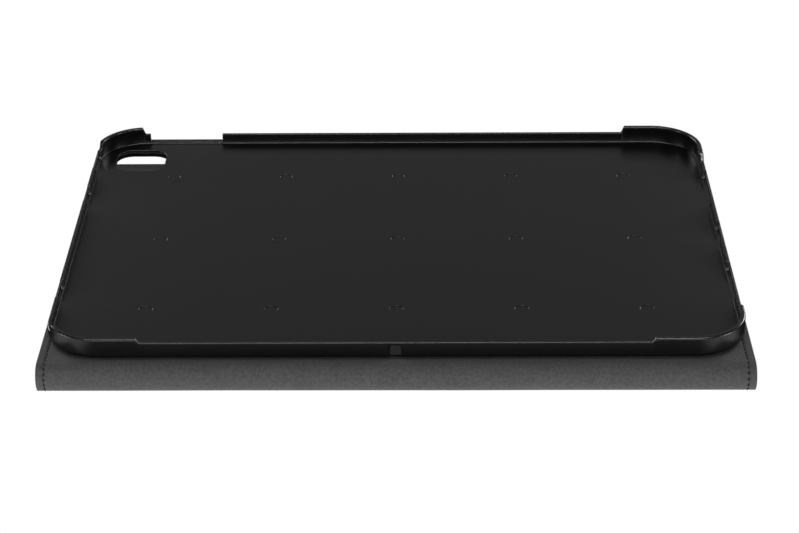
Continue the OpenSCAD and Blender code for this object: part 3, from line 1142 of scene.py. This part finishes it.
@dataclass
class Cover:
    """Skin and lining as one strip: rear panel, half-round spine, front panel.

    The path s is 0 where the loop starts, negative on the rear panel and past the loop on the front
    one. A point is (x, s, n), with n measured from where skin and lining meet, toward the lining's face.
    """

    frame: CaseFrame
    corner_r: float = 8.0
    lining_edge_r: float = 0.2
    skin_edge_r: float = 0.3
    stitch_inset: float = 2.9
    seam_depth: float = 0.2
    seam_w: float = 0.45
    pan_start: float = 3.5
    pan_end: float = 4.9
    pan_lead_share: float = 2.0 / 3.0
    pocket_start: float = 4.1
    pocket_end: float = 4.4
    crease_half: float = 1.35
    crease_depth: float = 0.4
    window_w: float = 22.0
    window_r: float = 7.0
    border_w: float = 9.0
    pulled_w: float = 60.0
    middle_columns: int = 44
    corner_rows: int = 41
    loop_rows: int = 73
    end_row: float = 0.012
    loop_skew: float = 0.45
    ripple: float = 0.1
    split_at: float = 0.6
    stitch_pitch: float = 2.14
    stitch_share: float = 0.7
    stitches_per_fold: int = 2
    stitch_rings: int = 9
    stitch_sides: int = 7
    stitch_arch: float = 1.25
    thread_r: float = 0.29

    def __post_init__(self) -> None:
        """Works out the loop's radius where skin and lining meet, its length, and the places of splits."""
        f = self.frame
        self.meet_r = f.strip_r + f.skin_t / 2 + f.lining_t / 2 - f.lining_t
        self.loop_len = math.pi * self.meet_r
        self.tray_y = (f.tray_low[1] + f.tray_high[1]) / 2

    # -- the surface

    def locate(self, x: np.ndarray, s: np.ndarray, n: np.ndarray) -> np.ndarray:
        """Points of the strip: straight panels joined by a half circle, offset by n along the normal.

        Across the loop the radius is a little larger to the right than to the left, and ripples slowly.

        Args:
            x: places along the spine.
            s: places along the path.
            n: offsets from where skin and lining meet.

        Returns:
            Array with a last axis of X, Y and Z.
        """
        f = self.frame
        x, s, n = np.broadcast_arrays(x, s, n)
        share = np.clip(s / self.loop_len, 0.0, 1.0)
        a = math.pi * (0.5 + share)
        beyond = np.maximum(-s, 0.0) + np.maximum(s - self.loop_len, 0.0)
        bulge = np.sin(math.pi * share) ** 2
        wave = np.sin(x / 23.0 + 0.8) + 0.6 * np.sin(x / 9.5 + 2.1) * np.sin(2 * math.pi * share)
        out = n + bulge * (self.loop_skew * x / f.half_w + self.ripple * wave)
        y = f.near_y + (self.meet_r + out) * np.cos(a) * (beyond <= 0) + beyond
        z = f.loop_mid_z + (self.meet_r + out) * np.sin(a)
        return np.stack([x, y, z], axis=-1)

    def inset(self, x: np.ndarray, s: np.ndarray) -> np.ndarray:
        """Distance of a place from the cover's outline, whose far corners are round.

        Args:
            x: places along the spine.
            s: places along the path.

        Returns:
            The distances.
        """
        from_side = self.frame.half_w - np.abs(x)
        reach = np.maximum(np.maximum(-s, s - self.loop_len), 0.0)
        from_end = np.where((s < 0) | (s > self.loop_len), self.frame.panel_d - reach, 1e3)
        r = self.corner_r
        in_corner = (from_side < r) & (from_end < r)
        corner = r - np.hypot(r - np.minimum(from_side, r), r - np.minimum(from_end, r))
        return np.maximum(np.where(in_corner, corner, np.minimum(from_side, from_end)), 0.0)

    def _rounded(self, d: np.ndarray, r: float) -> np.ndarray:
        """How far a face falls at distance d from the outline, for an edge of radius r."""
        gap = r - np.clip(d, 0.0, r)
        return r - np.sqrt(r * r - gap * gap)

    def _seam(self, d: np.ndarray) -> np.ndarray:
        """Depth of the groove that the seam pulls into a face: a bell curve about the stitch line."""
        return self.seam_depth * np.exp(-(((d - self.stitch_inset) / self.seam_w) ** 2))

    def faces_of(self, layer: Layer, x: np.ndarray, s: np.ndarray) -> tuple[np.ndarray, np.ndarray]:
        """Offsets of a layer's outer and inner face.

        The lining is even. The skin lies against the lining at the border and steps up over the boards,
        with a groove over the fold between the two rear ones.

        Args:
            layer: which layer.
            x: places along the spine.
            s: places along the path.

        Returns:
            The two offsets.
        """
        f = self.frame
        d = self.inset(x, s)
        if layer is Layer.LINING:
            outer = f.lining_t - self._seam(d) - self._rounded(d, self.lining_edge_r)
            return outer, np.zeros_like(outer)
        reach = np.maximum(-s, s - self.loop_len)
        over = np.minimum(d, reach + self.pan_start * self.pan_lead_share)
        y = f.near_y + reach
        fold = np.exp(-(((y - self.tray_y) / self.crease_half) ** 4)) * (s < 0)
        outer = -f.skin_t - f.board_t * smooth(self.pan_start, self.pan_end, over)
        outer = outer + self._seam(d) + self._rounded(d, self.skin_edge_r) + self.crease_depth * fold
        inner = -f.board_t * smooth(self.pocket_start, self.pocket_end, over) * (1 - fold)
        return outer, inner

    def columns(self) -> np.ndarray:
        """Places along the spine: close together at both ends, where the edge and the seam are."""
        d = np.concatenate([
            [0.0, 0.01, 0.03, 0.06, 0.1, 0.15, 0.2, 0.3, 0.45, 0.8, 1.2, 1.6],
            np.arange(1.9, 5.2, 0.2),
            [5.6, 6.4, 7.6, self.border_w],
        ])
        half = self.frame.half_w
        middle = np.linspace(-(half - self.border_w), half - self.border_w, self.middle_columns)[1:-1]
        return np.concatenate([-(half - d), middle, (half - d)[::-1]])

    def rows(self, start: float, end: float) -> np.ndarray:
        """Places along the path from start to end, both panels and the loop alike.

        The far corners are stepped by equal angles, so the rows crowd toward the far edge. An extra row
        lies just inside each end, so that neighbours shade alike where they meet.

        Args:
            start: where the stretch starts.
            end: where it ends.

        Returns:
            The places, in order.
        """
        f, r = self.frame, self.corner_r
        turn = np.sin(np.radians(np.linspace(0, 90, self.corner_rows)))
        panel = np.concatenate([
            [0.0, 0.3, 0.6], np.arange(0.9, 4.0, 0.2), np.arange(4.6, f.panel_d - r - 1, 4.0),
            f.panel_d - r + r * turn,
            self.tray_y - f.near_y + np.arange(-3.2, 3.3, 0.2),
        ])
        loop = np.linspace(0, self.loop_len, self.loop_rows)
        every = np.unique(np.round(np.concatenate([-panel, loop, self.loop_len + panel]), 6))
        clear = 2.5 * self.end_row
        inside = every[(every > start + clear) & (every < end - clear)]
        return np.concatenate([[start, start + self.end_row], inside, [end - self.end_row, end]])

    def sheet(self, layer: Layer, span: Span) -> bpy.types.Object:
        """One piece of a layer over a span: an outer and an inner face over one grid, and its rims.

        Args:
            layer: which layer.
            span: the stretch of the path.

        Returns:
            The piece.
        """
        s = self.rows(span.start, span.end)[:, None]
        half, r = self.frame.half_w, self.corner_r
        flat = self.columns()[None, :]
        reach = np.maximum(-s, s - self.loop_len)
        past = np.clip(reach - (self.frame.panel_d - r), 0.0, r)
        taken = smooth(half - self.pulled_w, half - self.border_w, np.abs(flat))
        pulled = (r - np.sqrt(r * r - past * past)) * taken
        x = np.sign(flat) * (np.abs(flat) - pulled)
        s = np.broadcast_to(s, x.shape)
        outer, inner = self.faces_of(layer, x, s)
        rows, cols = x.shape
        points = np.concatenate([self.locate(x, s, face).reshape(-1, 3) for face in (outer, inner)])
        first = rows * cols
        number = np.arange(first).reshape(rows, cols)
        rim = [number[0], number[:, -1], number[-1], number[:, 0]]
        blocks = [grid_faces(rows, cols), grid_faces(rows, cols, first)]
        blocks += [strip_faces(side, side + first) for side in rim]
        piece = put_mesh(f"{layer.value}_{span.name}", points, blocks)
        if span.name == "rear":
            hole = round_square(self.window_w / 2, self.window_r, 12) + np.array(self.frame.camera_xy)
            top, below, above = 2 * self.frame.loop_mid_z, 4.0, 1.0
            cut_from(piece, prism("window_cutter", [hole, hole], [top - below, top + above], "z"))
        return piece

    # -- the seams

    def seam_runs(self, span: Span) -> list[np.ndarray]:
        """The seam's stitches in a span, as start and end places (x, s).

        On a panel the seam runs up both sides and round the far corners. On the loop it is two straight
        runs, whose stitches end where the span ends.

        Args:
            span: the stretch of the path.

        Returns:
            A list of polylines, one per stitch, each of shape (points, 2).
        """
        half = self.frame.half_w - self.stitch_inset
        steps = np.linspace(0.5 - self.stitch_share / 2, 0.5 + self.stitch_share / 2, self.stitch_rings)
        if span.name in ("rear", "front"):
            r = self.corner_r - self.stitch_inset
            side = self.frame.panel_d - self.stitch_inset - r - self.split_at
            lengths = np.cumsum([0, side, math.pi * r / 2, 2 * (half - r), math.pi * r / 2, side])
            count = round(lengths[-1] / self.stitch_pitch)
            q = (np.arange(count)[:, None] + steps) * lengths[-1] / count
            x, v = self._round_seam(q, lengths, half, r)
            s = -v if span.name == "rear" else self.loop_len + v
            return [np.stack([a, b], axis=1) for a, b in zip(x, s)]
        low, high = max(span.start, 0.0), min(span.end, self.loop_len)
        runs = []
        count = self.stitches_per_fold
        for side, k in itertools.product((-1, 1), range(count)):
            s = low + (high - low) * (k + steps) / count
            runs.append(np.stack([np.full(len(s), side * half), s], axis=1))
        return runs

    def _round_seam(self, q: np.ndarray, lengths: np.ndarray, half: float,
                    r: float) -> tuple[np.ndarray, np.ndarray]:
        """X and depth of a panel's seam at lengths q: side, quarter circle, far run, quarter circle, side."""
        top = self.frame.panel_d - self.stitch_inset
        q0, q1, q2, q3, q4, _ = lengths
        a1 = np.clip((q - q1) / r, 0, math.pi / 2)
        a2 = np.clip((q - q3) / r, 0, math.pi / 2)
        parts = [q < q1, q < q2, q < q3, q < q4]
        left, right, low = r - half, half - r, top - r
        x = [np.full_like(q, -half), left - r * np.cos(a1), left + (q - q2), right + r * np.sin(a2)]
        v = [self.split_at + (q - q0), low + r * np.sin(a1), np.full_like(q, top), low + r * np.cos(a2)]
        return np.select(parts, x, half), np.select(parts, v, low - (q - q4))

    def stitches(self, span: Span) -> bpy.types.Object:
        """The stitches of a span on the lining's face and on the skin's, as short arched tubes.

        Each is a tube of a few sides about a line that dips into the face at both ends: its height is
        the square root of a half sine, and its radius shrinks at the ends.

        Args:
            span: the stretch of the path.

        Returns:
            The piece, with the UV map "stitch": U along a stitch and V round it.
        """
        runs = np.stack(self.seam_runs(span))
        count, rings = runs.shape[:2]
        sides = self.stitch_sides
        t = np.linspace(0, 1, rings)
        lift = np.sqrt(np.maximum(np.sin(math.pi * t), 0.0))
        radius = self.thread_r * (0.5 + 0.5 * np.sin(math.pi * np.clip(t, 0.04, 0.96)) ** 0.35)
        x, s = runs[..., 0], runs[..., 1]
        clouds, blocks, first = [], [], 0
        for layer, sign in ((Layer.LINING, 1.0), (Layer.SKIN, -1.0)):
            face, _ = self.faces_of(layer, x, s)
            n = face + sign * (self.thread_r * (self.stitch_arch * lift - 1.0))
            line = self.locate(x, s, n)
            up = self.locate(x, s, n + sign) - line
            up /= np.linalg.norm(up, axis=-1, keepdims=True)
            along = np.gradient(line, axis=1)
            along /= np.linalg.norm(along, axis=-1, keepdims=True)
            across = np.cross(along, up)
            angle = 2 * math.pi * np.arange(sides) / sides
            c, d = np.cos(angle)[:, None], np.sin(angle)[:, None]
            ring = up[:, :, None, :] * c + across[:, :, None, :] * d
            cloud = line[:, :, None, :] + radius[None, :, None, None] * ring
            clouds.append(cloud.reshape(-1, 3))
            tube = grid_faces(rings, sides, close_cols=True)
            caps = np.stack([np.arange(sides), (rings - 1) * sides + np.arange(sides)])
            starts = first + np.arange(count)[:, None, None] * rings * sides
            blocks.append((tube[None] + starts).reshape(-1, 4))
            blocks.append((caps[None] + starts).reshape(-1, sides))
            first += count * rings * sides
        piece = put_mesh(f"stitches_{span.name}", np.concatenate(clouds), blocks)
        self._stitch_uv(piece, rings, sides)
        return piece

    @staticmethod
    def _stitch_uv(piece: bpy.types.Object, rings: int, sides: int) -> None:
        """Writes the UV map: U is the ring's share of the stitch and V the side's share of a turn."""
        mesh = piece.data
        corner = np.zeros(len(mesh.loops), np.int32)
        mesh.loops.foreach_get("vertex_index", corner)
        u = (corner // sides % rings) / (rings - 1)
        v = corner % sides / sides
        layer = mesh.uv_layers.new(name="stitch")
        layer.data.foreach_set("uv", np.stack([u, v], axis=1).astype(np.float32).ravel())

    # -- the whole cover

    def spans(self) -> list[Span]:
        """The cover's stretches: each panel with its body, and four folds between them."""
        quarter, split, end = self.loop_len / 4, self.split_at, self.loop_len
        depth = self.frame.panel_d
        return [
            Span("rear", -depth, -split, ("tray_side",), "rear_{kind}"),
            Span("fold_1", -split, quarter, ("tray_side", "spine_upper"), "spine_{kind}_upper"),
            Span("fold_2", quarter, 2 * quarter, ("spine_upper", "spine_middle"), "spine_{kind}_middle"),
            Span("fold_3", 2 * quarter, 3 * quarter, ("spine_middle", "spine_lower"), "spine_{kind}_lower"),
            Span("fold_4", 3 * quarter, end + split, ("spine_lower", "front_cover")),
            Span("front", end + split, end + depth, ("front_cover",), "front_{kind}"),
        ]

    def attach(self, piece: bpy.types.Object, kind: str, span: Span) -> None:
        """Makes a piece follow its body where it has one, fixes it in place where it lies between two, and
        hides the node that it replaces, if any.
        """
        if span.node:
            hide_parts(span.node.format(kind=kind))
        if len(span.bodies) == 1:
            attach(piece, span.bodies[0])
            return
        deep = -(self.frame.skin_t + self.loop_skew + self.ripple * 2)
        ends = [self.locate(np.zeros(1), np.array([s]), np.array([deep]))[0] * MM
                for s in (max(span.start, 0.0), min(span.end, self.loop_len))]
        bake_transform(piece)

    def build(self, wardrobe: Wardrobe) -> None:
        """Builds and dresses every piece of the cover, and attaches to its body each piece that follows only
        one.
        """
        for span in self.spans():
            for layer, slot in ((Layer.LINING, Slot.LINING), (Layer.SKIN, Slot.SKIN)):
                piece = self.sheet(layer, span)
                wardrobe.dress(piece, slot)
                self.attach(piece, layer.value, span)
            piece = self.stitches(span)
            wardrobe.dress(piece, Slot.THREAD)
            self.attach(piece, "thread", span)


# ---------------------------------------------------------------- studio


@dataclass(frozen=True)
class SoftBox:
    """A rectangular light: its place, target, size and power, and whether only glossy surfaces show it."""

    name: str
    place: tuple[float, float, float]
    target: tuple[float, float, float]
    size: tuple[float, float]
    power: float
    gloss_only: bool = False


@dataclass
class Studio:
    """White table and surround, soft boxes, and the camera."""

    floor_half: float = 6.0
    surround_light: float = 0.04
    card_x: tuple[float, float] = (0.118, 0.14)
    card_y: tuple[float, float] = (0.06, 0.088)
    table_z: float = -0.2
    camera_place: tuple[float, float, float] = (8.3, -785.3, 416.8)
    yaw: float = -0.55
    pitch: float = 27.87
    roll: float = -0.42
    lens: float = 103.06
    sensor_w: float = 36.0
    clip: tuple[float, float] = (0.01, 50.0)
    boxes: tuple[SoftBox, ...] = (
        SoftBox("front_box", (0.0, -1.3, 0.12), (0.0, -0.09, 0.01), (1.2, 0.22), 5.5),
        SoftBox("left_box", (-0.95, -0.3, 0.1), (0.0, -0.05, 0.012), (0.32, 0.2), 3.0),
        SoftBox("right_box", (0.95, -0.34, 0.1), (0.0, -0.05, 0.012), (0.32, 0.2), 3.0),
        SoftBox("top_box", (0.0, -0.1, 1.3), (0.0, 0.0, 0.0), (0.9, 0.12), 2.6),
        SoftBox("far_box", (0.0, 1.6, 0.85), (0.0, 0.0, 0.0), (2.6, 0.7), 1.3),
        SoftBox("back_left_box", (-0.95, 0.95, 0.5), (0.0, 0.0, 0.0), (0.6, 0.5), 9.0),
        SoftBox("back_right_box", (0.95, 0.95, 0.5), (0.0, 0.0, 0.0), (0.6, 0.5), 9.0),
        SoftBox("gloss_box", (0.0, -0.25, 1.3), (0.0, 0.0, 0.0), (1.2, 0.3), 16.0, gloss_only=True),
    )

    def build(self) -> None:
        """Builds the floor, the surround, the lights and the camera."""
        self._floor()
        self._surround()
        for box in self.boxes:
            self._light(box)
        self._camera()
        bpy.context.scene.view_settings.view_transform = "Standard"

    def _floor(self) -> None:
        """A white table top, lit up to pure white, with dark cards along the four sides of the case.

        The cards are seen only as reflections in the tray's walls, so that a wall stays black between its
        corners, and each corner has a sheen. The camera sees the white surround in the table's place, so
        that a cover hanging over the table's edge stays in sight.
        """
        h = self.floor_half / MM
        corners = [[x * h, y * h, self.table_z] for x, y in ((-1, -1), (1, -1), (1, 1), (-1, 1))]
        floor = put_mesh("table_top", np.array(corners), [np.array([[0, 1, 2, 3]])])
        material = bpy.data.materials.new("white_table")
        material.use_nodes = True
        nodes = Nodes(material.node_tree)
        place = nodes.add("TexCoord")
        apart = nodes.add("SeparateXYZ")
        nodes.wire(place.outputs["Object"], apart.inputs[0])
        aside = nodes.ramp(nodes.math("ABSOLUTE", apart.outputs["X"]), *self.card_x, 0.0, 1.0)
        beyond = nodes.ramp(nodes.math("ABSOLUTE", apart.outputs["Y"]), *self.card_y, 0.0, 1.0)
        around = nodes.math("MULTIPLY", aside, beyond)
        seen = nodes.add("LightPath")
        cards = nodes.math("SUBTRACT", 1.0, around)
        mirrored = nodes.math("MULTIPLY", cards, seen.outputs["Is Glossy Ray"])
        shader = nodes.add("Emission")
        nodes.wire(nodes.math("SUBTRACT", 1.0, mirrored), shader.inputs["Strength"])
        clear = nodes.math("MAXIMUM", seen.outputs["Is Camera Ray"], seen.outputs["Is Shadow Ray"])
        clear = nodes.math("MAXIMUM", clear, nodes.add("NewGeometry").outputs["Backfacing"])
        shown = nodes.add("MixShader")
        nodes.wire(clear, shown.inputs["Fac"])
        nodes.wire(shader.outputs[0], shown.inputs[1])
        nodes.wire(nodes.add("BsdfTransparent").outputs[0], shown.inputs[2])
        nodes.wire(shown.outputs[0], nodes.add("OutputMaterial").inputs["Surface"])
        floor.data.materials.append(material)

    def _surround(self) -> None:
        """A surround that is shown white and lights the case with a dim, even grey."""
        world = bpy.data.worlds.new("white_surround")
        bpy.context.scene.world = world
        world.use_nodes = True
        nodes = Nodes(world.node_tree)
        dim = nodes.add("Background", Strength=self.surround_light)
        white = nodes.add("Background", Strength=1.0)
        for node in (dim, white):
            node.inputs["Color"].default_value = (1.0, 1.0, 1.0, 1.0)
        seen = nodes.add("LightPath")
        mixed = nodes.add("MixShader")
        nodes.wire(seen.outputs["Is Camera Ray"], mixed.inputs["Fac"])
        nodes.wire(dim.outputs[0], mixed.inputs[1])
        nodes.wire(white.outputs[0], mixed.inputs[2])
        nodes.wire(mixed.outputs[0], nodes.add("OutputWorld").inputs["Surface"])

    @staticmethod
    def _light(box: SoftBox) -> None:
        """Places a soft box so that it faces its target."""
        data = bpy.data.lights.new(box.name, "AREA")
        data.shape = "RECTANGLE"
        data.size, data.size_y = box.size
        data.energy = box.power
        light = bpy.data.objects.new(box.name, data)
        light.visible_diffuse = not box.gloss_only
        bpy.context.scene.collection.objects.link(light)
        away = np.array(box.place) - np.array(box.target)
        light.location = box.place
        light.rotation_mode = "QUATERNION"
        light.rotation_quaternion = Vector(away).to_track_quat("Z", "Y")

    def _camera(self) -> None:
        """Places the camera by its yaw, its pitch below the horizon and its roll."""
        yaw, pitch, roll = (math.radians(v) for v in (self.yaw, self.pitch, self.roll))
        level = math.cos(pitch)
        forward = np.array([math.sin(yaw) * level, math.cos(yaw) * level, -math.sin(pitch)])
        right = np.array([math.cos(yaw), -math.sin(yaw), 0.0])
        up = np.cross(right, forward)
        c, d = math.cos(roll), math.sin(roll)
        data = bpy.data.cameras.new("camera")
        data.sensor_width = self.sensor_w
        data.lens = self.lens
        data.clip_start, data.clip_end = self.clip
        camera = bpy.data.objects.new("camera", data)
        bpy.context.scene.collection.objects.link(camera)
        turn = np.eye(4)
        turn[:3, 0], turn[:3, 1], turn[:3, 2] = right * c + up * d, up * c - right * d, -forward
        turn[:3, 3] = np.array(self.camera_place) * MM
        camera.matrix_world = Matrix(turn.tolist())
        bpy.context.scene.camera = camera


# ---------------------------------------------------------------- the whole case


INNER_NODES: dict[str, Slot] = {
    "tray_adhesive": Slot.ADHESIVE,
    "rear_board_fixed": Slot.BOARD,
    "rear_board_prop": Slot.BOARD,
    "front_board": Slot.BOARD,
    "wake_magnets": Slot.MAGNET,
    "closing_magnets": Slot.MAGNET,
}


def main() -> None:
    """Loads the frame, builds the studio and every piece, and reports them."""
    logging.basicConfig(level=logging.INFO, format="%(name)s %(message)s")
    for thing in list(bpy.data.objects):
        bpy.data.objects.remove(thing)
    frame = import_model()
    sizes = CaseFrame.read(frame)
    log.info("sizes in mm: %s", sizes)
    Studio().build()
    wardrobe = Wardrobe()
    tray = Tray(sizes).build()
    wardrobe.dress(tray, Slot.TRAY)
    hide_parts("tray_shell")
    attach(tray, "tray_side")
    Cover(sizes).build(wardrobe)
    for node, slot in INNER_NODES.items():
        wardrobe.dress(frame["nodes"][node], slot)
    bpy.context.view_layer.update()


if __name__ == "__main__":
    main()
